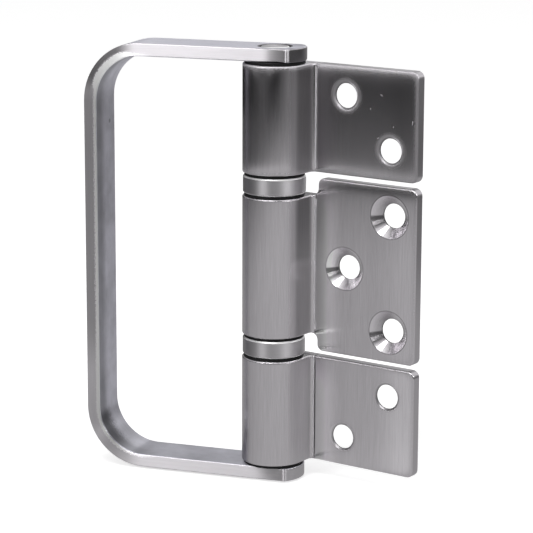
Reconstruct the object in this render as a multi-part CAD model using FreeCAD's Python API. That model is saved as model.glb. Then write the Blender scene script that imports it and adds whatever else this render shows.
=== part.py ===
import FreeCAD, Part
import math
import os

# Bifold door hinge with a pull handle.
#
# Three leaves turn on one upright pin. The middle leaf is screwed to the edge of
# one door panel, the upper and lower leaves to the edge of the next, and shut they
# lie in one plane, nested in the gap between the panels. A D-shaped handle of bent
# flat bar holds the pin by both ends, over and under the barrel, and swings with it.
#
# Millimetres. Z runs up the pin, from the underside of the handle's lower arm.
# X runs from the pin to the leaves' free edges. The side seen when the door is shut
# faces -Y.

# barrel: pin, bush and rolled plate, one round the other
pin_radius = 4.0
pin_chamfer = 0.5
pin_clearance = 0.05
bush_wall = 1.45
plate_thickness = 3.0

# heights along the pin
outer_knuckle_height = 28.8
middle_knuckle_height = 37.4
ring_height = 4.6
stack_gap = 0.8
flange_clearance = 0.1

# how far each turned edge stands back from the barrel's surface
ring_setback = 0.15
flange_setback = 0.5
arm_end_setback = 0.1

# leaves
leaf_reach = 40.5
leaf_gap = 1.55
leaf_corner_radius = 1.9
web_fillet = 1.1
notch_web = 1.65
notch_fillet = 2.0
notch_corner = 1.7
notch_fill = 0.95
leaf_edge_radius = 0.4
seam_width = 0.45
seam_floor_width = 0.15
seam_depth = 0.6
seam_lip = 0.3
seam_stop = 0.8
seam_run_out = 3.5

# screw holes
screw_hole_diameter = 6.5
countersink_diameter = 11.4
countersink_angle = 90.0
punched_rim_width = 0.9
punched_rim_depth = 0.2
hole_inset = 7.8
middle_hole_inset = 8.0
free_edge_inset = 8.2
hole_stagger = 13.7

# bushes
bush_share = 0.42
bush_lead_in = 0.4

# handle
bar_width = 13.0
bar_thickness = 3.5
swing_clearance = 6.6
handle_bend_radius = 16.0
arm_end_corner = 0.45
bar_edge_radius = 0.3
pin_mouth_chamfer = 0.6
handle_turn = 16.0

# small edge breaks on turned pieces
ring_chamfer = 0.35
flange_chamfer = 0.1

# how far a cutting or trimming solid runs past what it cuts
overrun = 2.0
# differences below this are rounding
tolerance = 1e-4


def point(x, y, z):
    return FreeCAD.Vector(x, y, z)


up = point(0, 0, 1)
knuckle_bore_radius = pin_radius + pin_clearance + bush_wall
barrel_radius = knuckle_bore_radius + plate_thickness
leaf_back = barrel_radius
leaf_front = barrel_radius - plate_thickness
ring_radius = barrel_radius - ring_setback
flange_radius = barrel_radius - flange_setback
arm_end_radius = barrel_radius - arm_end_setback

# each bush fills a share of an outer knuckle, and the same bush serves all three
bush_length = bush_share * outer_knuckle_height

# the leaves swing through the handle, so its grip stands clear of their far edges
leaf_swing_radius = math.hypot(leaf_reach, leaf_back)
handle_reach = leaf_swing_radius + swing_clearance + bar_thickness


def stack_levels():
    """Heights of every piece along the pin, from the lower arm up."""
    order = [
        ("lower_arm", bar_thickness),
        ("lower_knuckle", outer_knuckle_height),
        ("lower_ring", ring_height),
        ("middle_knuckle", middle_knuckle_height),
        ("upper_ring", ring_height),
        ("upper_knuckle", outer_knuckle_height),
        ("upper_arm", bar_thickness),
    ]
    levels = {}
    height = 0.0
    for name, piece_height in order:
        levels[name] = (height, height + piece_height)
        height += piece_height + stack_gap
    return levels


levels = stack_levels()
hinge_height = levels["upper_arm"][1]
middle_height = hinge_height / 2


# Outlines with rounded corners

def rounded_wire(corners, place):
    """Closed wire through corners (a, b, radius); place(a, b) puts a flat point in space."""
    edges = []
    ends = []
    count = len(corners)
    for i in range(count):
        here = FreeCAD.Vector(corners[i][0], corners[i][1], 0)
        before = FreeCAD.Vector(corners[i - 1][0], corners[i - 1][1], 0)
        after = FreeCAD.Vector(corners[(i + 1) % count][0], corners[(i + 1) % count][1], 0)
        radius = corners[i][2]
        back = (before - here).normalize()
        ahead = (after - here).normalize()
        half_angle = back.getAngle(ahead) / 2
        if radius <= 0:
            ends.append((here, here, here))
            continue
        reach = radius / math.tan(half_angle)
        towards_centre = (back + ahead).normalize()
        middle = here + towards_centre * (radius / math.sin(half_angle) - radius)
        ends.append((here + back * reach, middle, here + ahead * reach))
    for i in range(count):
        start, middle, end = ends[i]
        next_start = ends[(i + 1) % count][0]
        if start.distanceToPoint(end) > tolerance:
            edges.append(Part.Arc(place(start.x, start.y), place(middle.x, middle.y),
                                  place(end.x, end.y)).toShape())
        if end.distanceToPoint(next_start) > tolerance:
            edges.append(Part.LineSegment(place(end.x, end.y),
                                          place(next_start.x, next_start.y)).toShape())
    return Part.Wire(edges)


# Leaves: one plate each, its edge rolled into a knuckle

def leaf_section(reach):
    """The leaf seen along the pin: barrel, web, inner fillet and plate."""
    radius = barrel_radius
    diagonal = math.sqrt(0.5)
    fillet_x = radius + web_fillet
    fillet_y = leaf_front - web_fillet
    plate_back = Part.LineSegment(point(reach, leaf_back, 0), point(0, leaf_back, 0))
    roll = Part.Arc(point(0, radius, 0), point(-radius * diagonal, -radius * diagonal, 0),
                    point(radius, 0, 0))
    web = Part.LineSegment(point(radius, 0, 0), point(radius, fillet_y, 0))
    inner_corner = Part.Arc(point(radius, fillet_y, 0),
                            point(fillet_x - web_fillet * diagonal, fillet_y + web_fillet * diagonal, 0),
                            point(fillet_x, leaf_front, 0))
    plate_front = Part.LineSegment(point(fillet_x, leaf_front, 0), point(reach, leaf_front, 0))
    free_edge = Part.LineSegment(point(reach, leaf_front, 0), point(reach, leaf_back, 0))
    lines = [plate_back, roll, web, inner_corner, plate_front, free_edge]
    return Part.Face(Part.Wire([line.toShape() for line in lines]))


def leaf_outline(knuckle, leaf):
    """The leaf seen from the front: its knuckle's height and its plate's, with the notches between."""
    left = -barrel_radius - overrun
    step = abs(knuckle[0] - leaf[0])
    corner = leaf_corner_radius
    if step > tolerance:
        notch = barrel_radius + notch_web
        both = notch_fillet + notch_corner
        share = min(1.0, notch_fill * step / both)
        inner = notch_fillet * share
        outer = notch_corner * share
        corners = [
            (left, knuckle[0], 0), (notch, knuckle[0], inner), (notch, leaf[0], outer),
            (leaf_reach, leaf[0], corner), (leaf_reach, leaf[1], corner),
            (notch, leaf[1], outer), (notch, knuckle[1], inner), (left, knuckle[1], 0),
        ]
    else:
        corners = [
            (left, leaf[0], 0), (leaf_reach, leaf[0], corner),
            (leaf_reach, leaf[1], corner), (left, leaf[1], 0),
        ]
    wire = rounded_wire(corners, lambda x, z: point(x, -barrel_radius - overrun, z))
    depth = 2 * (barrel_radius + overrun)
    return Part.Face(wire).extrude(point(0, depth, 0))


def outline_edges(blank):
    """The edges where the blank's outline cuts its faces, without those along the pin or the thickness."""
    chosen = []
    for edge in blank.Edges:
        box = edge.BoundBox
        through = box.XLength < tolerance and box.ZLength < tolerance
        upright = box.XLength < tolerance and box.YLength < tolerance
        if through or (upright and box.XMin < leaf_reach - tolerance):
            continue
        chosen.append(edge)
    return chosen


def screw_hole(x, z, head_side):
    """A countersunk screw hole through the plate; head_side is -1 for the front, 1 for the back.

    The punch came in from the other side and drew its rim over.
    """
    head_face = leaf_front if head_side < 0 else leaf_back
    tail_face = leaf_back if head_side < 0 else leaf_front
    into = point(0, -head_side, 0)
    hole_radius = screw_hole_diameter / 2
    head_radius = countersink_diameter / 2
    slope = math.tan(math.radians(countersink_angle / 2))
    shank = Part.makeCylinder(hole_radius, plate_thickness + 2 * overrun,
                              point(x, head_face + head_side * overrun, z), into)
    outside = head_radius + overrun * slope
    depth = overrun + head_radius / slope
    head = Part.makeCone(outside, 0, depth, point(x, head_face + head_side * overrun, z), into)
    return shank.fuse([head, punched_rim(point(x, tail_face, z), into)])


def punched_rim(centre, outward):
    """Cuts a hole's rim round: its curve leaves the face smoothly and gets steeper to the hole."""
    hole_radius = screw_hole_diameter / 2
    rim_radius = hole_radius + punched_rim_width
    curve_radius = (punched_rim_width ** 2 + punched_rim_depth ** 2) / (2 * punched_rim_depth)
    half_turn = math.asin(punched_rim_width / curve_radius) / 2
    bulge_width = curve_radius * math.sin(half_turn)
    bulge_depth = curve_radius * (1 - math.cos(half_turn))

    def spot(radius, height):
        return centre + point(radius, 0, 0) + outward * height

    curve = Part.Arc(spot(rim_radius, 0), spot(rim_radius - bulge_width, -bulge_depth),
                     spot(hole_radius, -punched_rim_depth)).toShape()
    rest = Part.makePolygon([spot(hole_radius, -punched_rim_depth), spot(0, -punched_rim_depth),
                             spot(0, overrun), spot(rim_radius, overrun), spot(rim_radius, 0)])
    return Part.Face(Part.Wire([curve, rest])).revolve(centre, outward, 360)


def seam_groove(low, high):
    """The fine cleft left where the rolled end closes on the plate, rounded over on the roll's side."""
    diagonal = math.sqrt(0.5)
    middle = barrel_radius + web_fillet
    left = middle - seam_width / 2
    right = middle + seam_width / 2
    lip_start = left - seam_lip
    surface = leaf_front - web_fillet + math.sqrt(web_fillet ** 2 - (middle - lip_start) ** 2)
    outside = surface - seam_lip
    floor = leaf_front + seam_depth
    floor_left = middle - seam_floor_width / 2
    floor_right = middle + seam_floor_width / 2
    lip_middle = point(lip_start + seam_lip * diagonal, surface + seam_lip - seam_lip * diagonal, 0)
    lines = [
        Part.LineSegment(point(lip_start, outside, 0), point(lip_start, surface, 0)),
        Part.Arc(point(lip_start, surface, 0), lip_middle, point(left, surface + seam_lip, 0)),
        Part.LineSegment(point(left, surface + seam_lip, 0), point(floor_left, floor, 0)),
        Part.LineSegment(point(floor_left, floor, 0), point(floor_right, floor, 0)),
        Part.LineSegment(point(floor_right, floor, 0), point(right, leaf_front, 0)),
        Part.LineSegment(point(right, leaf_front, 0), point(right, outside, 0)),
        Part.LineSegment(point(right, outside, 0), point(lip_start, outside, 0)),
    ]
    groove = Part.Face(Part.Wire([line.toShape() for line in lines]))
    groove.translate(point(0, 0, low))
    groove = groove.extrude(up * (high - low))

    # it comes up to the surface slowly at both ends, so that it ends in points
    slope = seam_run_out / seam_depth
    start = low + seam_stop
    end = high - seam_stop
    shallow = -slope * (leaf_front - outside)
    corners = [(outside, start + shallow), (floor, start + seam_run_out),
               (floor, end - seam_run_out), (outside, end - shallow)]
    spots = [point(lip_start - seam_lip, y, z) for y, z in corners]
    length = Part.Face(Part.makePolygon(spots + [spots[0]])).extrude(point(seam_width + 3 * seam_lip, 0, 0))
    return groove.common(length)


def make_leaf(knuckle, leaf, holes, head_side):
    """One leaf: knuckle and leaf are its (low, high) heights, holes its screw places (x, z)."""
    low = min(knuckle[0], leaf[0])
    high = max(knuckle[1], leaf[1])
    stock = leaf_section(leaf_reach + overrun)
    stock.translate(point(0, 0, low - overrun))
    stock = stock.extrude(up * (high - low + 2 * overrun))
    blank = stock.common(leaf_outline(knuckle, leaf))
    blank = blank.makeFillet(leaf_edge_radius, outline_edges(blank))
    cuts = [Part.makeCylinder(knuckle_bore_radius, high - low + 2 * overrun, point(0, 0, low - overrun), up)]
    cuts.append(seam_groove(knuckle[0], knuckle[1]))
    cuts += [screw_hole(x, z, head_side) for x, z in holes]
    return blank.cut(cuts)


# Turned pieces: pin, spacer rings and bushes

def make_pin():
    pin = Part.makeCylinder(pin_radius, hinge_height, point(0, 0, 0), up)
    rims = [edge for edge in pin.Edges if edge.BoundBox.ZLength < tolerance]
    return pin.makeChamfer(pin_chamfer, rims)


def make_ring(span):
    """A spacer ring that slips over the pin between two knuckles."""
    low, high = span
    ring = Part.makeCylinder(ring_radius, high - low, point(0, 0, low), up)
    rims = [edge for edge in ring.Edges if edge.BoundBox.ZLength < tolerance]
    ring = ring.makeChamfer(ring_chamfer, rims)
    bore = Part.makeCylinder(pin_radius + pin_clearance, high - low + 2 * overrun,
                             point(0, 0, low - overrun), up)
    return ring.cut(bore)


def make_bush(face, direction):
    """A flanged bush, pressed into the knuckle's end at height face; direction leaves the knuckle."""
    outward = up * direction
    at = point(0, 0, face)
    bore = pin_radius + pin_clearance
    flange_thickness = stack_gap - flange_clearance
    sleeve_radius = knuckle_bore_radius
    profile = [
        (bore, -bush_length), (sleeve_radius - bush_lead_in, -bush_length),
        (sleeve_radius, -bush_length + bush_lead_in), (sleeve_radius, 0), (flange_radius, 0),
        (flange_radius, flange_thickness - flange_chamfer),
        (flange_radius - flange_chamfer, flange_thickness), (bore, flange_thickness),
    ]
    spots = [at + outward * height + point(radius, 0, 0) for radius, height in profile]
    return Part.Face(Part.makePolygon(spots + [spots[0]])).revolve(at, up, 360)


# Handle: one flat bar bent to a D, held on the pin by the rounded ends of its arms

def make_handle():
    half_width = bar_width / 2
    past_end = arm_end_radius + overrun
    inner_bend = handle_bend_radius - bar_thickness
    inner_reach = handle_reach - bar_thickness
    corners = [
        (past_end, 0, 0), (-handle_reach, 0, handle_bend_radius),
        (-handle_reach, hinge_height, handle_bend_radius), (past_end, hinge_height, 0),
        (past_end, hinge_height - bar_thickness, 0),
        (-inner_reach, hinge_height - bar_thickness, inner_bend),
        (-inner_reach, bar_thickness, inner_bend), (past_end, bar_thickness, 0),
    ]
    side = rounded_wire(corners, lambda x, z: point(x, -half_width, z))
    bar = Part.Face(side).extrude(point(0, bar_width, 0))

    corner_x = math.sqrt(arm_end_radius ** 2 - half_width ** 2)
    far = -handle_reach - overrun
    wide = half_width + overrun
    plan = Part.Wire([
        Part.Arc(point(corner_x, -half_width, -overrun), point(arm_end_radius, 0, -overrun),
                 point(corner_x, half_width, -overrun)).toShape(),
        Part.makePolygon([point(corner_x, half_width, -overrun), point(corner_x, wide, -overrun),
                          point(far, wide, -overrun), point(far, -wide, -overrun),
                          point(corner_x, -wide, -overrun), point(corner_x, -half_width, -overrun)]),
    ])
    bar = bar.common(Part.Face(plan).extrude(up * (hinge_height + 2 * overrun)))
    bar = bar.makeFillet(arm_end_corner, arm_corner_edges(bar, corner_x))
    bar = bar.makeFillet(bar_edge_radius, bar_long_edges(bar))

    cuts = [Part.makeCylinder(pin_radius, hinge_height + 2 * overrun, point(0, 0, -overrun), up)]
    mouth = pin_radius + pin_mouth_chamfer
    cuts.append(Part.makeCone(mouth, 0, mouth, point(0, 0, 0), up))
    cuts.append(Part.makeCone(mouth, 0, mouth, point(0, 0, hinge_height), -up))
    bar = bar.cut(cuts)
    bar.rotate(point(0, 0, 0), up, handle_turn)
    return bar


def arm_corner_edges(bar, corner_x):
    """The four upright edges where the arms' sides meet their rounded ends."""
    chosen = []
    for edge in bar.Edges:
        box = edge.BoundBox
        upright = box.XLength < tolerance and box.YLength < tolerance
        if upright and abs(box.XMin - corner_x) < tolerance:
            chosen.append(edge)
    return chosen


def bar_long_edges(bar):
    """The bar's edges all round, apart from short ones across its width or up its thickness."""
    chosen = []
    for edge in bar.Edges:
        box = edge.BoundBox
        across = box.XLength < tolerance and box.ZLength < tolerance
        upright = box.XLength < tolerance and box.YLength < tolerance
        inside_height = box.ZLength < bar_thickness + tolerance
        if across or (upright and inside_height):
            continue
        chosen.append(edge)
    return chosen


# Assembly

def all_pieces():
    lower = levels["lower_knuckle"]
    middle = levels["middle_knuckle"]
    upper = levels["upper_knuckle"]
    middle_leaf = (lower[1] + leaf_gap, upper[0] - leaf_gap)
    far = leaf_reach - free_edge_inset
    near = far - hole_stagger

    front, back = -1, 1
    pieces = {}
    pieces["upper_leaf"] = make_leaf(
        upper, upper, [(near, upper[1] - hole_inset), (far, upper[0] + hole_inset)], back)
    pieces["middle_leaf"] = make_leaf(
        middle, middle_leaf,
        [(far, middle_leaf[1] - middle_hole_inset), (near, middle_height),
         (far, middle_leaf[0] + middle_hole_inset)], front)
    pieces["lower_leaf"] = make_leaf(
        lower, lower, [(far, lower[1] - hole_inset), (near, lower[0] + hole_inset)], back)
    for name, knuckle in (("upper_leaf", upper), ("middle_leaf", middle), ("lower_leaf", lower)):
        pieces[name + "_top_bush"] = make_bush(knuckle[1], 1)
        pieces[name + "_bottom_bush"] = make_bush(knuckle[0], -1)
    pieces["upper_spacer_ring"] = make_ring(levels["upper_ring"])
    pieces["lower_spacer_ring"] = make_ring(levels["lower_ring"])
    pieces["hinge_pin"] = make_pin()
    pieces["handle"] = make_handle()
    return pieces


os.makedirs("parts", exist_ok=True)
for node, shape in all_pieces().items():
    shape.exportStep("parts/" + node + ".step")
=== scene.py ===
import math
import bpy
from mathutils import Matrix, Vector


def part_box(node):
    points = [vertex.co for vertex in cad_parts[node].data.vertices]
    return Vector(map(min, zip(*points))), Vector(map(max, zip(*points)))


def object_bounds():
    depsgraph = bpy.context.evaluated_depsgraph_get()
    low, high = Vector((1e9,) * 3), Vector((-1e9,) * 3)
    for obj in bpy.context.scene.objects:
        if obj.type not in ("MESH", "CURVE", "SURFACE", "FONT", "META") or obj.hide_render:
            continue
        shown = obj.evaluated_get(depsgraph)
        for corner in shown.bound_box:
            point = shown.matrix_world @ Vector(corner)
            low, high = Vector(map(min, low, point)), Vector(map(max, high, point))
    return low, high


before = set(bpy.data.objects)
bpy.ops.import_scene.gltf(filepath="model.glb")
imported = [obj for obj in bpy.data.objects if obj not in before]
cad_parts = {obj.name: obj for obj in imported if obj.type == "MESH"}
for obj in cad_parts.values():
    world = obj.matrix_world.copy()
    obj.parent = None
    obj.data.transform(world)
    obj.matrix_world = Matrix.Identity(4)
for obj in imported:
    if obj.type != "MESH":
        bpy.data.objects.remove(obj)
cad_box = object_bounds()
bpy.context.scene.view_settings.view_transform = "Standard"

# The three leaves.
# Each is one 3 mm stainless plate with one edge rolled into a knuckle and closed on the plate at a fine
# seam. They were punched, so their edges are slightly drawn over, and belt-brushed up and down.

# millimetres on the piece; a tone is how much light the steel gives back, against its tint
steel_tint = (0.625, 0.603, 0.630)
plate_thickness = 3.0
screw_hole_radius = 3.25
countersink_radius = 5.7
hole_inset = 7.8
middle_hole_inset = 8.0
free_edge_inset = 8.2
hole_stagger = 13.7
knuckle_reach = 10.5
seam_place = 9.6
seam_half_width = 0.24
lip_width = 0.33
line_softness = 0.03


def new_finish(name, tint, roughness, brushing):
    """A bare metal finish: its material, its node tree and its surface."""
    finish = bpy.data.materials.new(name)
    finish.use_nodes = True
    tree = finish.node_tree
    metal = tree.nodes["Principled BSDF"]
    metal.inputs["Base Color"].default_value = (*tint, 1)
    metal.inputs["Metallic"].default_value = 1.0
    metal.inputs["Roughness"].default_value = roughness
    metal.inputs["Anisotropic"].default_value = brushing
    return finish, tree, metal


def plug(tree, sockets, givens):
    """Puts each given value, or link, into its socket."""
    for socket, given in zip(sockets, givens):
        if isinstance(given, bpy.types.NodeSocket):
            tree.links.new(given, socket)
        else:
            socket.default_value = given


def number(tree, kind, *givens):
    """One sum on numbers."""
    node = tree.nodes.new("ShaderNodeMath")
    node.operation = kind
    plug(tree, node.inputs, givens)
    return node.outputs["Value"]


def unsigned(tree, given):
    return number(tree, "ABSOLUTE", given)


def off(tree, given, middle):
    """How far a number is from the middle, either way."""
    return unsigned(tree, number(tree, "SUBTRACT", given, middle))


def arrow(tree, kind, *givens):
    """One sum on places or directions."""
    node = tree.nodes.new("ShaderNodeVectorMath")
    node.operation = kind
    plug(tree, node.inputs, givens)
    return node.outputs["Value" if kind in ("DOT_PRODUCT", "LENGTH") else "Vector"]


def scaled(tree, given, factor):
    """A place, direction or tint times a number."""
    node = tree.nodes.new("ShaderNodeVectorMath")
    node.operation = "SCALE"
    plug(tree, (node.inputs[0], node.inputs["Scale"]), (given, factor))
    return node.outputs["Vector"]


def parts_of(tree, given):
    """The three parts of a place or direction."""
    node = tree.nodes.new("ShaderNodeSeparateXYZ")
    tree.links.new(given, node.inputs[0])
    return node.outputs["X"], node.outputs["Y"], node.outputs["Z"]


def arrow_of(tree, *givens):
    """A place or direction from its three parts."""
    node = tree.nodes.new("ShaderNodeCombineXYZ")
    plug(tree, node.inputs, givens)
    return node.outputs["Vector"]


def place_on(tree):
    """The place on the piece, in millimetres."""
    return scaled(tree, tree.nodes.new("ShaderNodeTexCoord").outputs["Object"], 1000.0)


def facing(tree):
    """The way the surface faces, in the piece's own directions."""
    return tree.nodes.new("ShaderNodeTexCoord").outputs["Normal"]


def level_way(tree):
    """The level direction along the surface, in which light spreads off upright brush lines."""
    way = arrow(tree, "NORMALIZE", arrow(tree, "CROSS_PRODUCT", facing(tree), (0, 0, 1)))
    # a little aside, so that a level face has a direction too
    return arrow(tree, "ADD", way, (0.01, 0, 0))


def turned_with_piece(tree, direction):
    """A direction on the piece, as it stands in the room."""
    node = tree.nodes.new("ShaderNodeVectorTransform")
    node.vector_type = "VECTOR"
    node.convert_from = "OBJECT"
    node.convert_to = "WORLD"
    tree.links.new(direction, node.inputs["Vector"])
    return node.outputs["Vector"]


def between(tree, start, end, given):
    """Goes smoothly from 0 at start to 1 at end, whichever is the larger."""
    node = tree.nodes.new("ShaderNodeMapRange")
    node.interpolation_type = "SMOOTHSTEP"
    if start > end:
        plug(tree, (node.inputs["To Min"], node.inputs["To Max"]), (1.0, 0.0))
        start, end = end, start
    sockets = (node.inputs["Value"], node.inputs["From Min"], node.inputs["From Max"])
    plug(tree, sockets, (given, start, end))
    return node.outputs["Result"]


def both(tree, *shares):
    """Where all of the shares hold."""
    total = shares[0]
    for share in shares[1:]:
        total = number(tree, "MULTIPLY", total, share)
    return total


def moved(tree, start, end, share):
    """A number that goes from start to end with the share."""
    gap = number(tree, "SUBTRACT", end, start)
    return number(tree, "MULTIPLY_ADD", gap, share, start)


def times(tree, given, factor, share):
    """A number times the factor, where the share holds."""
    return number(tree, "MULTIPLY", given, moved(tree, 1.0, factor, share))


def blended(tree, share, first, second):
    """first where share is 0, second where it is 1."""
    kept = scaled(tree, first, number(tree, "SUBTRACT", 1.0, share))
    return arrow(tree, "ADD", kept, scaled(tree, second, share))


def fading(tree, distance, reach):
    """1 at no distance, fading away over the reach."""
    return number(tree, "EXPONENT", number(tree, "MULTIPLY", distance, -1.0 / reach))


def grain(tree, stretched, detail=2.0):
    """Even-sized random variation, between 0 and 1."""
    node = tree.nodes.new("ShaderNodeTexNoise")
    node.inputs["Scale"].default_value = 1.0
    node.inputs["Detail"].default_value = detail
    tree.links.new(stretched, node.inputs["Vector"])
    return node.outputs["Fac"]


def brush_lines(tree, spot, width, length, detail=2.0):
    """Upright brush lines of that width and length."""
    return grain(tree, arrow(tree, "MULTIPLY", spot, (1 / width, 1 / width, 1 / length)), detail)


def varied(tree, *layers):
    """1, moved up and down by each (variation, share)."""
    total = 1.0
    for variation, share in layers:
        middle = number(tree, "SUBTRACT", variation, 0.5)
        total = number(tree, "MULTIPLY_ADD", middle, share, total)
    return total


def raise_surface(tree, metal, height):
    """Bumps the surface by a height in millimetres."""
    bump = tree.nodes.new("ShaderNodeBump")
    bump.inputs["Strength"].default_value = 1.0
    bump.inputs["Distance"].default_value = 0.001
    tree.links.new(height, bump.inputs["Height"])
    tree.links.new(bump.outputs["Normal"], metal.inputs["Normal"])


def box_mm(node):
    """The lowest and highest corners of a piece, in millimetres."""
    low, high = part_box(node)
    return low * 1000, high * 1000


def dress(node, finish):
    """Gives a piece its finish."""
    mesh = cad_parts[node].data
    mesh.materials.clear()
    mesh.materials.append(finish)


def on_line(tree, given, middle, half_width):
    """Within a line of that half width, fading at its sides."""
    return between(tree, half_width + line_softness, half_width - line_softness, off(tree, given, middle))


def from_place(tree, x, z, place):
    """The way to a point of the plate from that place on it."""
    return arrow_of(tree, number(tree, "SUBTRACT", x, place[0]), 0.0, number(tree, "SUBTRACT", z, place[1]))


leaf_roughness = 0.19
leaf_roughness_change = 0.02
leaf_brushing = 0.97
fine_share = 0.30
middling_share = 0.10
broad_share = 0.10
line_depth = 0.002


class LeafSteel:
    """One leaf's brushed steel, with its tone, roughness, spread of light and height as it is worked;
    painted light and shade are added to the tone later.
    """

    def __init__(self, name):
        self.finish, self.tree, self.metal = new_finish(name + "_steel", steel_tint, leaf_roughness,
                                                        leaf_brushing)
        self.low, self.high = box_mm(name)
        self.front = self.high.y - plate_thickness
        self.spot = place_on(self.tree)
        self.x, self.y, self.z = parts_of(self.tree, self.spot)
        self.way_x, way_y, _ = parts_of(self.tree, facing(self.tree))
        self.face_on = unsigned(self.tree, way_y)
        self.down = number(self.tree, "SUBTRACT", self.high.z, self.z)
        self.on_plate = between(self.tree, knuckle_reach - 0.7, knuckle_reach, self.x)
        self.on_face = between(self.tree, self.high.y - 1.0, self.high.y - 1.5, self.y)

        # fine brush lines over a few broader ones
        fine = brush_lines(self.tree, self.spot, width=0.14, length=6.0)
        middling = brush_lines(self.tree, self.spot, width=0.5, length=18.0)
        broad = brush_lines(self.tree, self.spot, width=3.5, length=30.0, detail=1.0)
        self.tone = varied(self.tree, (fine, fine_share), (middling, middling_share), (broad, broad_share))
        self.rough = moved(self.tree, leaf_roughness - leaf_roughness_change,
                           leaf_roughness + leaf_roughness_change, middling)
        self.spread = level_way(self.tree)
        self.height = number(self.tree, "MULTIPLY", fine, line_depth)
        self.height = number(self.tree, "MULTIPLY_ADD", middling, line_depth, self.height)


pits_per_mm = 2.5
knuckle_drawn = 0.5


def draw_over_outline(leaf, draw_over, reach, roughness):
    """The punched outline, drawn over and pitted on the plate, less so on the knuckle."""
    tree = leaf.tree
    outline = fading(tree, leaf.down, reach)
    from_bottom = number(tree, "SUBTRACT", leaf.z, leaf.low.z)
    from_free_edge = number(tree, "SUBTRACT", leaf.high.x, leaf.x)
    for inwards in (from_bottom, from_free_edge):
        outline = number(tree, "ADD", outline, fading(tree, inwards, reach))
    leaf.height = number(tree, "MULTIPLY_ADD", outline, -draw_over, leaf.height)
    pits = grain(tree, scaled(tree, leaf.spot, pits_per_mm), detail=3.0)
    pitted_roughness = number(tree, "MULTIPLY", varied(tree, (pits, 1.0)), roughness)
    drawn = both(tree, between(tree, 0.1, 0.8, outline), moved(tree, knuckle_drawn, 1.0, leaf.on_plate))
    leaf.rough = moved(tree, leaf.rough, pitted_roughness, drawn)
    return drawn


far_tone_from, far_tone_to = 12.5, 3.5


def shade_plate(leaf, drawn, near_tone, far_tone):
    """Painted light and shade on the plate inside that outline, changing from the knuckle to the free edge.
    """
    tree = leaf.tree
    far = between(tree, leaf.high.x - far_tone_from, leaf.high.x - far_tone_to, leaf.x)
    inside = both(tree, leaf.on_plate, number(tree, "SUBTRACT", 1.0, drawn))
    # painted light and shade: the tone moves from near_tone by the knuckle to far_tone by the free edge
    leaf.tone = times(tree, leaf.tone, moved(tree, near_tone, far_tone, far), inside)


cut_roughness = 0.32
top_cut_shade = 0.55
side_cut_shade = 0.9


def cut_edges(leaf):
    """The cut edges, rough from the punch, with painted shade on them, darkest on the top and bottom and
    lighter on the free edge.
    """
    tree = leaf.tree
    cut_edge = both(tree, leaf.on_plate, between(tree, 0.5, 0.3, leaf.face_on))
    leaf.rough = moved(tree, leaf.rough, cut_roughness, cut_edge)
    # painted shade on the cut edges, deeper on the top and bottom than on the free edge
    cut_shade = moved(tree, top_cut_shade, side_cut_shade, between(tree, 0.3, 0.8, leaf.way_x))
    leaf.tone = moved(tree, leaf.tone, cut_shade, cut_edge)


countersink_roughness = 0.22
cone_foot_shade = 0.82
cone_mouth_light = 1.22
mouth_line_shade = 0.68


def countersink(leaf, out, deep):
    """A screw hole's countersink, turned smooth, with painted shade at its foot, painted light at its mouth
    and a painted dark line round the mouth.
    """
    tree = leaf.tree
    away = arrow(tree, "LENGTH", out)
    on_cone = both(tree, between(tree, 0.02, 0.06, deep),
                   between(tree, plate_thickness - 0.02, plate_thickness - 0.06, deep),
                   between(tree, countersink_radius + 0.3, countersink_radius + 0.1, away),
                   between(tree, screw_hole_radius + 0.03, screw_hole_radius + 0.08, away))
    leaf.spread = blended(tree, on_cone, leaf.spread, arrow(tree, "NORMALIZE", out))
    leaf.rough = moved(tree, leaf.rough, countersink_roughness, on_cone)
    # painted shade deep in the cone, painted light towards its mouth
    to_mouth = between(tree, screw_hole_radius, countersink_radius, away)
    leaf.tone = moved(tree, leaf.tone, moved(tree, cone_foot_shade, cone_mouth_light, to_mouth), on_cone)
    # a painted dark line round the cone's mouth
    mouth_line = both(tree, between(tree, 0.2, 0.08, off(tree, away, countersink_radius + 0.1)),
                      between(tree, 0.5, 0.2, deep))
    leaf.tone = moved(tree, leaf.tone, mouth_line_shade, mouth_line)


rim_width = 2.1
hole_edge_width = 0.6
hole_wall_shade = 0.16
hole_wall_roughness = 0.6


def plain_end(leaf, out, deep, rim_roughness):
    """A screw hole's other end, its wall rough and darkened by painted shade, and the plate made rougher in
    a rim round it.
    """
    tree = leaf.tree
    away = arrow(tree, "LENGTH", out)
    cone_depth = countersink_radius - screw_hole_radius
    past_cone = between(tree, cone_depth - 0.1, cone_depth, deep)
    on_rim = both(tree, past_cone, between(tree, screw_hole_radius + rim_width, screw_hole_radius, away))
    leaf.rough = moved(tree, leaf.rough, rim_roughness, on_rim)
    hole_edge = screw_hole_radius + hole_edge_width
    on_wall = both(tree, between(tree, hole_edge, hole_edge - 0.2, away), past_cone,
                   between(tree, 0.97, 0.90, leaf.face_on))
    round_hole = arrow(tree, "NORMALIZE", arrow(tree, "CROSS_PRODUCT", out, (0, 1, 0)))
    leaf.spread = blended(tree, on_wall, leaf.spread, round_hole)
    leaf.rough = moved(tree, leaf.rough, hole_wall_roughness, on_wall)
    # painted shade darkens the hole's wall
    leaf.tone = moved(tree, leaf.tone, hole_wall_shade, on_wall)


fold_roughness = 0.40
fold_from, fold_to = 8.45, 9.3


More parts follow.
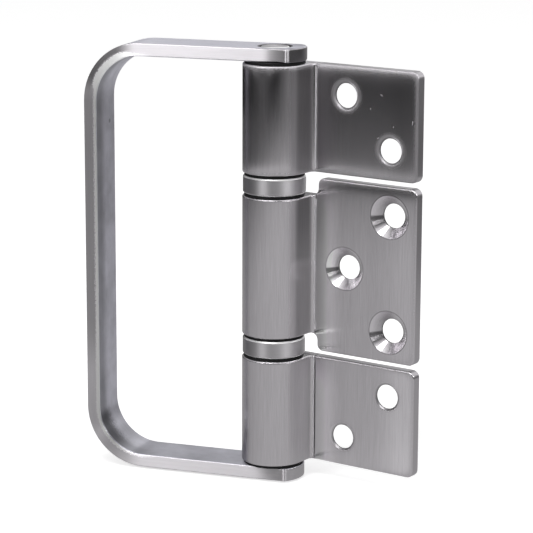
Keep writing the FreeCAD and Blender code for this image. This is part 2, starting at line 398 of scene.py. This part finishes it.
def paint_fold_shade(leaf, top_tone, low_tone, reach):
    """The fold down to the seam, rougher, and darkened by painted shade that is deepest towards its top."""
    tree = leaf.tree
    in_fold = both(tree, between(tree, 0.85, 0.97, leaf.way_x),
                   between(tree, fold_to, fold_to - 0.3, leaf.x))
    leaf.rough = moved(tree, leaf.rough, fold_roughness, in_fold)
    by_fold = number(tree, "MAXIMUM", between(tree, 0.95, 1.0, leaf.way_x),
                     between(tree, fold_from, fold_from + 0.15, leaf.x))
    in_shade = both(tree, by_fold, between(tree, fold_to, fold_to - 0.2, leaf.x),
                    between(tree, leaf.front - 0.2, leaf.front - 2.2, leaf.y))
    # painted shade in the fold, deepest towards its top
    fold_shade = moved(tree, low_tone, top_tone, between(tree, reach, 0.25 * reach, leaf.down))
    leaf.tone = times(tree, leaf.tone, fold_shade, in_shade)


glow_reach = 9.0
glow_starts, glow_full = -4.0, 10.0


def paint_light_by_seam(leaf, glow):
    """Painted light on the plate next to the seam, stronger on the middle and lower leaves."""
    tree = leaf.tree
    seam_end = seam_place + seam_half_width
    by_seam = both(tree, between(tree, seam_end - 0.02, seam_end + 0.03, leaf.x),
                   between(tree, seam_place + glow_reach, seam_place + 0.5, leaf.x), leaf.on_face,
                   between(tree, glow_starts, glow_full, leaf.down))
    # painted light on the plate beside the seam
    leaf.tone = times(tree, leaf.tone, glow, by_seam)


lip_roughness = 0.5


def close_seam(leaf, seam_tone, seam_metal):
    """The seam, dark or holding grey polish, and burnished along its lip."""
    tree = leaf.tree
    in_seam = both(tree, on_line(tree, leaf.x, seam_place, seam_half_width),
                   between(tree, leaf.front - 0.02, leaf.front + 0.08, leaf.y), leaf.on_face)
    leaf.tone = moved(tree, leaf.tone, seam_tone, in_seam)
    tree.links.new(moved(tree, 1.0, seam_metal, in_seam), leaf.metal.inputs["Metallic"])
    lip_middle = seam_place - seam_half_width - lip_width / 2
    on_lip = both(tree, on_line(tree, leaf.x, lip_middle, lip_width / 2), leaf.on_face,
                  between(tree, 0.25, 0.4, leaf.way_x))
    leaf.spread = blended(tree, on_lip, leaf.spread, (0, 0, 1))
    leaf.rough = moved(tree, leaf.rough, lip_roughness, on_lip)


nick_width = 0.14
nick_end = 0.2
nick_tone = 1.5
nick_roughness = 0.75


def scratch(leaf, place, lean, length):
    """A short nick in the plate, leaning that many degrees from upright."""
    tree = leaf.tree
    turn = math.radians(lean)
    out = from_place(tree, leaf.x, leaf.z, place)
    along = unsigned(tree, arrow(tree, "DOT_PRODUCT", out, (math.sin(turn), 0, math.cos(turn))))
    aside = unsigned(tree, arrow(tree, "DOT_PRODUCT", out, (math.cos(turn), 0, -math.sin(turn))))
    scratched = both(tree, between(tree, length / 2, length / 2 - nick_end, along),
                     between(tree, nick_width, nick_width / 3, aside), leaf.on_face)
    leaf.tone = moved(tree, leaf.tone, nick_tone, scratched)
    leaf.rough = moved(tree, leaf.rough, nick_roughness, scratched)


def finish_surface(tree, metal, tint, tone, rough, spread, height):
    """Gives the steel its tone, painted light and shade included, and its roughness, spread of light and
    height.
    """
    raise_surface(tree, metal, height)
    tree.links.new(turned_with_piece(tree, spread), metal.inputs["Tangent"])
    tree.links.new(scaled(tree, tint, tone), metal.inputs["Base Color"])
    tree.links.new(rough, metal.inputs["Roughness"])


def work_leaf(name, holes, open_front, draw_over, draw_over_reach, outline_roughness, plate_light_tones,
              rim_roughness, fold_shade_tones, fold_reach, seam_light, seam_tone, seam_metal, nicks):
    """One leaf with its screw holes, seam, wear and painted light and shade, in its own millimetres."""
    leaf = LeafSteel(name)
    drawn = draw_over_outline(leaf, draw_over, draw_over_reach, outline_roughness)
    shade_plate(leaf, drawn, *plate_light_tones)
    cut_edges(leaf)
    if open_front:
        deep = number(leaf.tree, "SUBTRACT", leaf.y, leaf.front)
    else:
        deep = number(leaf.tree, "SUBTRACT", leaf.high.y, leaf.y)
    for hole in holes:
        out = from_place(leaf.tree, leaf.x, leaf.z, hole)
        countersink(leaf, out, deep)
        plain_end(leaf, out, deep, rim_roughness)
    paint_fold_shade(leaf, *fold_shade_tones, fold_reach)
    paint_light_by_seam(leaf, seam_light)
    close_seam(leaf, seam_tone, seam_metal)
    for place, lean, length in nicks:
        scratch(leaf, place, lean, length)
    finish_surface(leaf.tree, leaf.metal, steel_tint, leaf.tone, leaf.rough, leaf.spread, leaf.height)
    dress(name, leaf.finish)


def leaf_holes(name, inset):
    """The far and near columns and the upper and lower rows of a leaf's screw holes."""
    low, high = box_mm(name)
    far = high.x - free_edge_inset
    return far, far - hole_stagger, high.z - inset, low.z + inset


# nicks of the upper leaf: place, lean in degrees, length
upper_leaf_nicks = [((26.1, 101.1), 0, 0.5), ((33.1, 97.0), 20, 0.6), ((38.8, 98.5), 5, 1.2),
                    ((28.5, 93.7), 60, 0.8), ((29.4, 104.9), -60, 0.9)]
far, near, upper, lower = leaf_holes("upper_leaf", hole_inset)
work_leaf("upper_leaf", [(near, upper), (far, lower)], open_front=False,
          draw_over=0.30, draw_over_reach=1.0, outline_roughness=0.50, plate_light_tones=(0.92, 0.77),
          rim_roughness=0.50, fold_shade_tones=(0.65, 0.75), fold_reach=45.0, seam_light=1.0,
          seam_tone=0.5, seam_metal=0.0, nicks=upper_leaf_nicks)
far, near, upper, lower = leaf_holes("middle_leaf", middle_hole_inset)
work_leaf("middle_leaf", [(far, upper), (near, (upper + lower) / 2), (far, lower)], open_front=True,
          draw_over=0.17, draw_over_reach=1.2, outline_roughness=0.24, plate_light_tones=(1.0, 1.14),
          rim_roughness=0.30, fold_shade_tones=(0.40, 0.66), fold_reach=28.0, seam_light=1.9,
          seam_tone=0.8, seam_metal=0.0, nicks=[])
far, near, upper, lower = leaf_holes("lower_leaf", hole_inset)
work_leaf("lower_leaf", [(far, upper), (near, lower)], open_front=False,
          draw_over=0.15, draw_over_reach=1.0, outline_roughness=0.24, plate_light_tones=(1.0, 1.26),
          rim_roughness=0.30, fold_shade_tones=(1.0, 1.0), fold_reach=12.0, seam_light=1.8,
          seam_tone=0.35, seam_metal=0.5, nicks=[])

# The bushes.
# Six black flanged bushes of low-friction plastic, pressed into the knuckles' ends. Only the edges of
# their flanges show, as dark lines between the knuckles, the rings and the handle's arms.

bush_tint = (0.004, 0.004, 0.0045)
bush_shine = 0.2
bush_roughness = 0.5
bush_roughness_change = 0.2
speckles_per_mm = 6.0
speckle_depth = 0.02
bush_finish, tree, plastic = new_finish("bush_polymer", bush_tint, bush_roughness, 0.0)
plastic.inputs["Metallic"].default_value = 0.0
plastic.inputs["Specular IOR Level"].default_value = bush_shine
speckle = grain(tree, scaled(tree, place_on(tree), speckles_per_mm))
tree.links.new(number(tree, "MULTIPLY_ADD", speckle, bush_roughness_change, bush_roughness),
               plastic.inputs["Roughness"])
raise_surface(tree, plastic, number(tree, "MULTIPLY", speckle, speckle_depth))
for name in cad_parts:
    if name.endswith("_bush"):
        dress(name, bush_finish)

# The spacer rings and the pin.
# Turned from stainless bar: the tool's fine lines run round them, so light spreads up and down the sides
# and in and out on the ends, and stands in upright bands on the rings.

turned_tint = (0.56, 0.547, 0.565)
turned_brushing = 0.5
tool_lines_per_mm = 9.0
tool_line_share = 0.12
tool_line_depth = 0.003
ring_roughness = 0.42
pin_roughness = 0.34
# painted highlights on the turned chamfers and on the pin's end face
chamfer_highlight = 2.2
pin_end_highlight = 1.7


def turned_finish(name, roughness, painted_end_tone, painted_side_tones):
    """Turned steel, with painted light and shade on its left, right and back sides as the rings stand at
    rest, a painted highlight on its chamfers and a painted tone on its end faces.
    """
    finish, tree, metal = new_finish(name, turned_tint, roughness, turned_brushing)
    x, y, z = parts_of(tree, place_on(tree))
    way_x, way_y, way_z = parts_of(tree, facing(tree))
    flat = arrow_of(tree, x, y, 0.0)
    spread = arrow(tree, "ADD", arrow(tree, "NORMALIZE", flat), (0, 0, 1))
    tree.links.new(turned_with_piece(tree, spread), metal.inputs["Tangent"])
    turns = number(tree, "MULTIPLY", z, tool_lines_per_mm)
    from_axis = arrow(tree, "LENGTH", flat)
    tool_lines = grain(tree, arrow_of(tree, from_axis, turns, 0.0), detail=3.0)
    raise_surface(tree, metal, number(tree, "MULTIPLY", tool_lines, tool_line_depth))

    # painted light and shade on each side, by the way the face looks
    left_tone, right_tone, back_tone = painted_side_tones
    side_tone = moved(tree, left_tone, right_tone, between(tree, 0.2, 0.85, way_x))
    to_back = both(tree, between(tree, -0.3, 0.1, way_y), between(tree, 0.9, 0.5, way_y),
                   between(tree, 0.0, 0.4, way_x))
    side_tone = moved(tree, side_tone, back_tone, to_back)
    tone = number(tree, "MULTIPLY", varied(tree, (tool_lines, tool_line_share)), side_tone)
    slant = unsigned(tree, way_z)
    # a painted highlight on the chamfers, and a painted tone on the end faces
    chamfer = both(tree, between(tree, 0.3, 0.5, slant), between(tree, 0.95, 0.85, slant))
    tone = moved(tree, tone, chamfer_highlight, chamfer)
    tone = moved(tree, tone, painted_end_tone, between(tree, 0.95, 0.99, slant))
    tree.links.new(scaled(tree, turned_tint, tone), metal.inputs["Base Color"])
    return finish


ring_finish = turned_finish("turned_ring_steel", ring_roughness, 1.0, (0.70, 1.18, 0.75))
dress("upper_spacer_ring", ring_finish)
dress("lower_spacer_ring", ring_finish)
dress("hinge_pin", turned_finish("turned_pin_steel", pin_roughness, pin_end_highlight, (1.0, 1.0, 1.0)))

# The handle.
# One flat stainless bar, 13 by 3.5 mm, bent to a D and held on the pin by its drilled, ground ends. It
# was brushed along its length on every side, and painted highlights brighten its front face's inner edge.

handle_tint = (0.54, 0.523, 0.545)
cool_tint = (0.53, 0.526, 0.578)
handle_brushing = 0.95
arm_roughness = 0.34
grip_roughness = 0.50
fine_bump = 0.002
middling_bump = 0.006
handle_turn = math.radians(16)
bar_half_width = 6.5
bend_reach = 35.5
bend_rise = 42.0
bend_inside = 12.5
handle_finish, tree, metal = new_finish("handle_steel", handle_tint, arm_roughness, handle_brushing)
along_arm = Vector((-math.cos(handle_turn), -math.sin(handle_turn), 0))
across_bar = Vector((math.sin(handle_turn), -math.cos(handle_turn), 0))
middle_height = (cad_box[0].z + cad_box[1].z) / 2 * 1000
spot = place_on(tree)
x, y, z = parts_of(tree, spot)
way_z = parts_of(tree, facing(tree))[2]
reach = arrow(tree, "DOT_PRODUCT", spot, along_arm)
across = arrow(tree, "DOT_PRODUCT", spot, across_bar)
level = number(tree, "SUBTRACT", z, middle_height)
upper_half = number(tree, "SIGN", level)
on_upper = between(tree, -0.5, 0.5, upper_half)
on_lower = between(tree, 0.5, -0.5, upper_half)

# the way out of the bar's bend, and how far out
out = number(tree, "MAXIMUM", number(tree, "SUBTRACT", reach, bend_reach), 0.0)
up = number(tree, "MAXIMUM", number(tree, "SUBTRACT", unsigned(tree, level), bend_rise), 0.0)
upward = arrow_of(tree, 0.0, 0.0, both(tree, up, upper_half))
outward = arrow(tree, "ADD", scaled(tree, along_arm, out), upward)
spread = arrow(tree, "ADD", arrow(tree, "NORMALIZE", outward), across_bar)
from_inside = number(tree, "SUBTRACT", arrow(tree, "LENGTH", arrow_of(tree, out, up, 0.0)), bend_inside)
bend_turn = number(tree, "ARCTAN2", up, out)
past_bend_foot = between(tree, 0.1, 0.5, bend_turn)
in_bend = both(tree, past_bend_foot, between(tree, 1.5, 1.1, bend_turn))

# brush lines along the bar, other ones in its upper and lower halves
half_shift = 200.0
bar_fine_share, bar_middling_share, bar_broad_share = 0.20, 0.12, 0.10
grip_from, grip_to = 40.0, 50.0
along = number(tree, "SUBTRACT", unsigned(tree, level), reach)
bar_spot = arrow_of(tree, from_inside, across, number(tree, "MULTIPLY_ADD", upper_half, half_shift, along))
fine = brush_lines(tree, bar_spot, width=0.16, length=7.0)
middling = brush_lines(tree, bar_spot, width=0.6, length=20.0)
broad = brush_lines(tree, bar_spot, width=4.0, length=25.0, detail=1.0)
tone = varied(tree, (fine, bar_fine_share), (middling, bar_middling_share), (broad, bar_broad_share))
rough = moved(tree, arm_roughness, grip_roughness, between(tree, grip_from, grip_to, reach))

# inner faces: blotched; painted light makes them lighter past the arms, and painted shade darker in the
# lower bend
inner_light = 1.35
lower_bend_shade = 0.75
blotches_per_mm = 0.16
blotch_low, blotch_high = 0.65, 1.35
arms_end_from, arms_end_to = 30.0, 45.0
inner_face = between(tree, 0.2, 0.05, from_inside)
past_arms = between(tree, arms_end_from, arms_end_to, reach)
on_inside = both(tree, inner_face, past_arms)
tone = times(tree, tone, moved(tree, inner_light, lower_bend_shade, both(tree, past_bend_foot, on_lower)),
             on_inside)
blotch = grain(tree, scaled(tree, spot, blotches_per_mm), detail=4.0)
tone = times(tree, tone, moved(tree, blotch_low, blotch_high, blotch), inner_face)

# painted shade darkens their front edge; the lower bend is stained from there, and there is one speck by
# the upper bend
mottles_per_mm = 1.6
front_edge_from, front_edge_to = 0.0, 4.5
front_edge_raggedness = 0.8
front_edge_shade = 0.58
stain_from, stain_to = -2.0, 3.0
stain_raggedness = 6.0
stain_tone = 0.45
speck_across, speck_height = -2.9, 93.4
speck_tone = 0.6
mottle = grain(tree, scaled(tree, spot, mottles_per_mm), detail=3.0)
mottled_across = number(tree, "MULTIPLY_ADD", mottle, front_edge_raggedness, across)
front_edge = between(tree, front_edge_from, front_edge_to, mottled_across)
# painted shade along the inner faces' front edge
tone = times(tree, tone, front_edge_shade, both(tree, on_inside, front_edge))
stain_edge = number(tree, "SUBTRACT", mottle, 0.5)
ragged_across = number(tree, "MULTIPLY_ADD", stain_edge, stain_raggedness, across)
stained = both(tree, on_inside, between(tree, 0.05, 0.35, bend_turn), between(tree, 1.3, 0.8, bend_turn),
               on_lower, between(tree, stain_from, stain_to, ragged_across))
tone = times(tree, tone, stain_tone, stained)
from_speck = arrow(tree, "LENGTH", from_place(tree, across, z, (speck_across, speck_height)))
tone = times(tree, tone, speck_tone, both(tree, on_inside, between(tree, 0.8, 0.3, from_speck)))

# front face: a painted highlight along its inner edge, wider round the upper bend, where painted shade
# darkens the outer half
edge_highlight_tone = 2.5
dark_patch_tone = 0.4
highlight_width_along, highlight_width_in_bend = 0.5, 1.8
highlight_spots_per_mm = 3.5
highlight_raggedness = 1.6
on_front = between(tree, bar_half_width - 0.6, bar_half_width - 0.3, across)
upper_bend = both(tree, in_bend, on_upper)
highlight_jitter = number(tree, "SUBTRACT", grain(tree, scaled(tree, spot, highlight_spots_per_mm), detail=3.0), 0.5)
ragged_inside = number(tree, "MULTIPLY_ADD", highlight_jitter, highlight_raggedness, from_inside)
highlight_width = moved(tree, highlight_width_along, highlight_width_in_bend, upper_bend)
past_highlight = number(tree, "SUBTRACT", ragged_inside, highlight_width)
edge_highlight = both(tree, on_front, between(tree, 0.5, -0.1, past_highlight), past_arms)
# painted highlight along the front face's inner edge
tone = times(tree, tone, edge_highlight_tone, edge_highlight)
# painted shade on the outer half round the upper bend
dark_patch = both(tree, on_front, between(tree, 1.5, 2.1, ragged_inside), upper_bend)
tone = times(tree, tone, dark_patch_tone, dark_patch)

# painted light on the front of the grip's lower end and its bend, making them lighter
pale_from, pale_to = -18.0, -34.0
pale_light = 1.5
paler = both(tree, on_front, between(tree, pale_from, pale_to, level), between(tree, 1.3, 0.6, bend_turn))
tone = times(tree, tone, pale_light, paler)

# the arms' ends, ground round the pin: a bright corner line from the way light spreads there, and painted
# shade on the upper arm's end
ground_from, ground_to = 5.0, -7.5
lower_ground = 0.55
corner_reach = -5.3
end_from, end_to = -5.6, -6.1
painted_end_tone = 0.4
ground = both(tree, between(tree, ground_from, ground_to, reach),
              moved(tree, lower_ground, 1.0, between(tree, -1.0, 1.0, upper_half)))
spread = blended(tree, ground, spread, level_way(tree))
on_corner = both(tree, between(tree, 0.55, 0.4, off(tree, reach, corner_reach)),
                 between(tree, bar_half_width - 1.0, bar_half_width - 0.7, unsigned(tree, across)))
spread = blended(tree, on_corner, spread, (0, 0, 1))
on_end = both(tree, between(tree, end_from, end_to, reach), on_upper,
              between(tree, 0.9, 0.6, unsigned(tree, way_z)))
# painted shade on the upper arm's end
tone = times(tree, tone, painted_end_tone, on_end)

# a painted shadow line round the pin
groove_radius = 4.5
groove_shade = 0.15
from_pin = arrow(tree, "LENGTH", arrow_of(tree, x, y, 0.0))
tone = moved(tree, tone, groove_shade, between(tree, groove_radius + 0.25, groove_radius, from_pin))

# painted light makes the upper arm's top lighter; it takes the same cool tint as the inner faces
top_face_light = 1.18
facing_up = between(tree, 0.9, 0.97, way_z)
tone = times(tree, tone, top_face_light, both(tree, facing_up, between(tree, 1.0, 3.0, from_inside)))
tint = blended(tree, number(tree, "MAXIMUM", inner_face, facing_up), handle_tint, cool_tint)

height = number(tree, "MULTIPLY", fine, fine_bump)
height = number(tree, "MULTIPLY_ADD", middling, middling_bump, height)
finish_surface(tree, metal, tint, tone, rough, spread, height)
dress("handle", handle_finish)

# The studio.
# A white paper table, which bare metal mirrors at the level of plain paper, with dark and grey cloths
# hung round it out of the picture, and three soft boxes. Distances on the paper are in millimetres.

floor_side = 6.0
floor_drop = 0.0006
floor_tint = 0.8
floor_lift = 0.55
corners = [(-floor_side, -floor_side, 0), (floor_side, -floor_side, 0), (floor_side, floor_side, 0),
           (-floor_side, floor_side, 0)]
floor_mesh = bpy.data.meshes.new("floor")
floor_mesh.from_pydata(corners, [], [(0, 1, 2, 3)])
floor = bpy.data.objects.new("floor", floor_mesh)
floor.location.z = -floor_drop
bpy.context.scene.collection.objects.link(floor)


def towards(angle):
    """The level direction at that angle, from the front round to the right."""
    turn = math.radians(angle)
    return Vector((math.sin(turn), -math.cos(turn), 0.0))


def lobe(tree, heading, angle, sharpness):
    """1 towards that angle, falling off to both sides."""
    share = number(tree, "MAXIMUM", arrow(tree, "DOT_PRODUCT", heading, towards(angle)), 0.0)
    return number(tree, "POWER", share, sharpness)


paper = bpy.data.materials.new("white_paper")
paper.use_nodes = True
tree = paper.node_tree
tree.nodes.clear()
surface = tree.nodes.new("ShaderNodeOutputMaterial")
path = tree.nodes.new("ShaderNodeLightPath")
mirrored = path.outputs["Is Glossy Ray"]
matt = tree.nodes.new("ShaderNodeBsdfDiffuse")
own = number(tree, "MULTIPLY_ADD", mirrored, -floor_tint, floor_tint)
tree.links.new(arrow_of(tree, own, own, own), matt.inputs["Color"])

# how light the paper looks in the metal: a lit patch to the right, a shadow behind it to the right, and
# a brighter stretch behind
patch_level = 0.47
patch_slope = 0.10
patch_slope_angle = 50
patch_middle = towards(85) * 100
patch_from, patch_to = 290.0, 650.0
past_patch = 0.18
shadow_angle, shadow_sharpness = 145, 8.0
shadow_from, shadow_to = 215.0, 345.0
shadow_share = 0.25
behind_angle, behind_sharpness = 195, 4.0
behind_from, behind_to = 300.0, 500.0
behind_near, behind_far = 0.15, 0.35
spot = place_on(tree)
distance = arrow(tree, "LENGTH", spot)
heading = arrow(tree, "NORMALIZE", spot)
slope = arrow(tree, "DOT_PRODUCT", heading, towards(patch_slope_angle))
lit = number(tree, "MULTIPLY_ADD", slope, patch_slope, patch_level)
off_centre = arrow(tree, "LENGTH", arrow(tree, "SUBTRACT", spot, patch_middle))
lit = times(tree, lit, past_patch, between(tree, patch_from, patch_to, off_centre))
shaded = both(tree, lobe(tree, heading, shadow_angle, shadow_sharpness),
              between(tree, shadow_from, shadow_to, distance))
lit = times(tree, lit, shadow_share, shaded)
behind = both(tree, lobe(tree, heading, behind_angle, behind_sharpness),
              moved(tree, behind_near, behind_far, between(tree, behind_from, behind_to, distance)))
lit = number(tree, "ADD", lit, behind)
white = tree.nodes.new("ShaderNodeEmission")
seen = number(tree, "MAXIMUM", path.outputs["Is Camera Ray"], path.outputs["Is Transmission Ray"])
lift = number(tree, "MULTIPLY", seen, floor_lift)
lift = number(tree, "MULTIPLY_ADD", mirrored, lit, lift)
tree.links.new(lift, white.inputs["Strength"])
sum_of = tree.nodes.new("ShaderNodeAddShader")
tree.links.new(matt.outputs[0], sum_of.inputs[0])
tree.links.new(white.outputs[0], sum_of.inputs[1])
tree.links.new(sum_of.outputs[0], surface.inputs["Surface"])
floor_mesh.materials.append(paper)

# name, from and to which angle it hangs, its lower and upper edge in metres, how light it is
# each cloth is a glowing sheet, unseen by the camera, that shows only in the metal as a painted reflection
# of light and dark
cloth_distance = 0.66
cloth_steps = 12
cloths = [
    ("left_cloth", -150, -25, 0.0, 0.25, 0.005),
    ("left_curtain", -150, -30, 0.25, 1.1, 0.40),
    ("front_left_cloth", -25, 0, 0.0, 0.25, 0.02),
    ("front_cloth", 0, 50, 0.0, 0.66, 0.0),
    ("front_right_cloth", 50, 70, 0.0, 0.60, 0.10),
    ("right_cloth", 70, 125, 0.0, 0.25, 0.23),
    ("back_right_cloth", 125, 160, 0.0, 0.25, 0.15),
    ("back_cloth", 160, 225, 0.0, 0.40, 0.95),
]
for name, start, end, low, high, glow in cloths:
    points = []
    faces = []
    for i in range(cloth_steps + 1):
        foot = towards(start + (end - start) * i / cloth_steps) * cloth_distance
        points += [foot + Vector((0, 0, low)), foot + Vector((0, 0, high))]
        if i:
            faces.append((2 * i - 2, 2 * i, 2 * i + 1, 2 * i - 1))
    mesh = bpy.data.meshes.new(name)
    mesh.from_pydata(points, [], faces)
    sheet = bpy.data.objects.new(name, mesh)
    bpy.context.scene.collection.objects.link(sheet)
    sheet.visible_camera = False
    sheet.visible_shadow = False
    sheet.visible_diffuse = False
    cloth = bpy.data.materials.new(name)
    cloth.use_nodes = True
    tree = cloth.node_tree
    tree.nodes.clear()
    surface = tree.nodes.new("ShaderNodeOutputMaterial")
    white = tree.nodes.new("ShaderNodeEmission")
    white.inputs["Strength"].default_value = glow
    tree.links.new(white.outputs[0], surface.inputs["Surface"])
    mesh.materials.append(cloth)

# the room is white where it is seen or mirrored, and lights the hinge at half that
room_level = 0.5
world = bpy.data.worlds.new("studio")
world.use_nodes = True
tree = world.node_tree
room = tree.nodes["Background"]
room.inputs["Color"].default_value = (1, 1, 1, 1)
path = tree.nodes.new("ShaderNodeLightPath")
seen = number(tree, "MAXIMUM", path.outputs["Is Camera Ray"], path.outputs["Is Glossy Ray"])
seen = number(tree, "MAXIMUM", seen, path.outputs["Is Transmission Ray"])
tree.links.new(moved(tree, room_level, 1.0, seen), room.inputs["Strength"])
bpy.context.scene.world = world

hinge_middle = Vector((0, 0, 0.058))


def way_out(angle, rise):
    """The direction at that angle round the hinge and that rise, in degrees."""
    return towards(angle) * math.cos(math.radians(rise)) + Vector((0, 0, math.sin(math.radians(rise))))


def softbox(name, angle, rise, distance, width, height, glow):
    """A soft box aimed at the hinge, of that glow for each unit of its face."""
    lamp = bpy.data.lights.new(name, "AREA")
    lamp.shape = "RECTANGLE"
    lamp.size = width
    lamp.size_y = height
    lamp.energy = glow * width * height * math.pi
    box = bpy.data.objects.new(name, lamp)
    bpy.context.scene.collection.objects.link(box)
    box.location = hinge_middle + way_out(angle, rise) * distance
    box.rotation_euler = way_out(angle, rise).to_track_quat("Z", "Y").to_euler()


softbox("overhead_box", angle=15, rise=57, distance=1.0, width=0.34, height=0.30, glow=7.7)
softbox("left_box", angle=-9, rise=15, distance=1.1, width=0.34, height=0.7, glow=6.8)
softbox("right_box", angle=80, rise=22, distance=1.1, width=0.30, height=0.5, glow=5.5)

# The camera.
# It looks from the hinge's right and a little above, in the photograph's direction, with a long lens.

camera_angle, camera_rise = 34.540, 12.284
pan, tilt, roll = (math.radians(turn) for turn in (-0.187, -0.070, 0.247))
camera_distance = 0.623331
lens = bpy.data.cameras.new("camera")
lens.sensor_width = 36.0
lens.lens = 158.56
lens.clip_start = 0.01
camera = bpy.data.objects.new("camera", lens)
bpy.context.scene.collection.objects.link(camera)
aim = (Matrix.Rotation(math.radians(camera_angle), 4, "Z")
       @ Matrix.Rotation(math.radians(90 - camera_rise), 4, "X")
       @ Matrix.Rotation(-pan, 4, "Y") @ Matrix.Rotation(tilt, 4, "X") @ Matrix.Rotation(roll, 4, "Z"))
stand = hinge_middle + way_out(camera_angle, camera_rise) * camera_distance
camera.matrix_world = Matrix.Translation(stand) @ aim
bpy.context.scene.camera = camera
